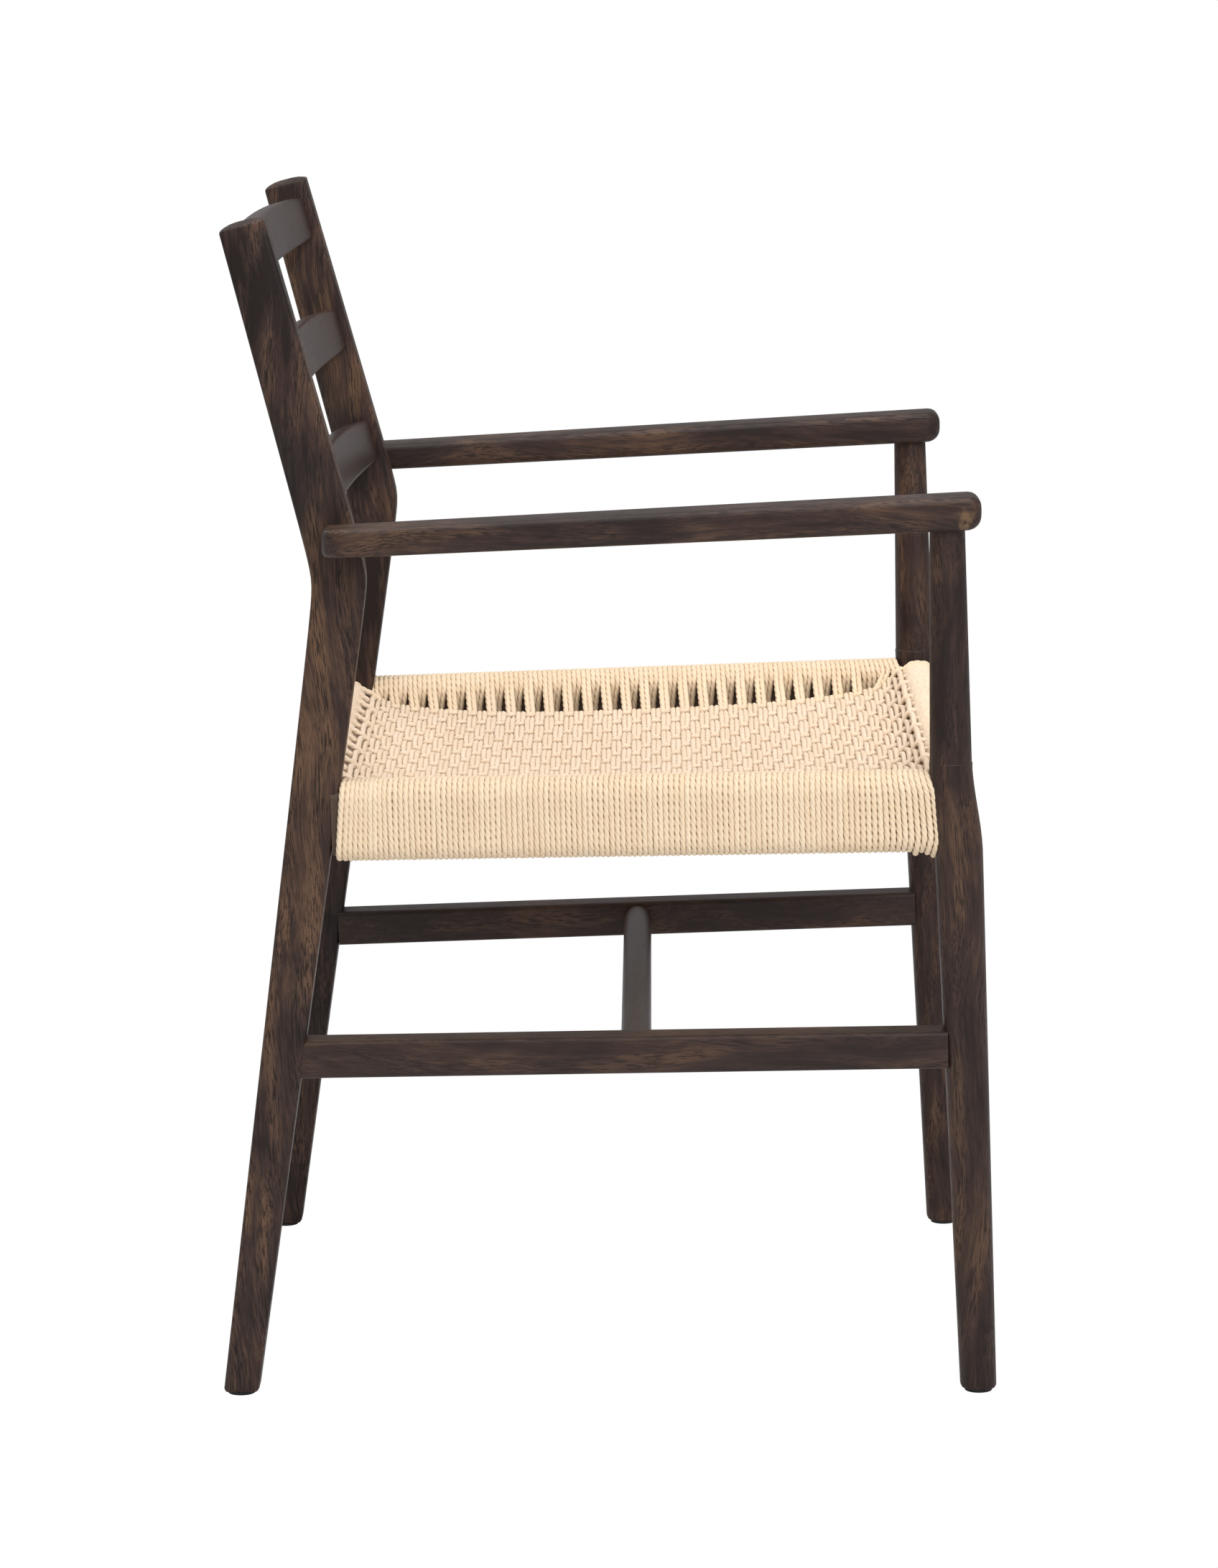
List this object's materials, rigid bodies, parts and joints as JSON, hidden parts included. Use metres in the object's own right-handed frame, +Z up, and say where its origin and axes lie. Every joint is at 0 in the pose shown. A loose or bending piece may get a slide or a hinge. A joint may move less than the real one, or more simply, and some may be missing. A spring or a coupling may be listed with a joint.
{
  "type": "armchair",
  "caption": "Dark oak armchair with straight arms on turned front legs, a bowed slatted back, an H stretcher and a woven paper cord seat.",
  "frame": {"origin": "on the floor, under the middle of the chair's bounding box", "axes": "+Z up, the chair's front faces -Y, +X is the sitter's left"},
  "size_m": [0.5594, 0.5368, 0.8149],
  "materials": {
    "dark_oak": "satin dark brown stain with the grain showing",
    "dark_oak_slat": "satin dark brown stain, smooth face",
    "paper_cord": "matt twisted three-ply paper cord",
    "glide_plastic": "matt black",
    "beech_dowel": "bare beech",
    "nail_steel": "plain"
  },
  "bodies": {
    "root": {"back_post_right": "dark_oak", "back_post_left": "dark_oak", "front_leg_right": "dark_oak", "front_leg_left": "dark_oak", "armrest_right": "dark_oak", "armrest_left": "dark_oak", "top_slat": "dark_oak_slat", "middle_slat": "dark_oak_slat", "bottom_slat": "dark_oak_slat", "front_seat_rail": "dark_oak", "rear_seat_rail": "dark_oak", "side_seat_rail_right": "dark_oak", "side_seat_rail_left": "dark_oak", "side_stretcher_right": "dark_oak", "side_stretcher_left": "dark_oak", "cross_stretcher": "dark_oak", "arm_dowels": "beech_dowel", "seat_rail_dowels": "beech_dowel", "glide_back_right": "glide_plastic", "glide_back_left": "glide_plastic", "glide_front_right": "glide_plastic", "glide_front_left": "glide_plastic", "glide_nails": "nail_steel", "front_rail_cord_wrap": "paper_cord", "rear_rail_cord_wrap": "paper_cord", "side_rail_cord_wrap_right": "paper_cord", "side_rail_cord_wrap_left": "paper_cord", "woven_seat": "paper_cord"}
  },
  "joints": []
}
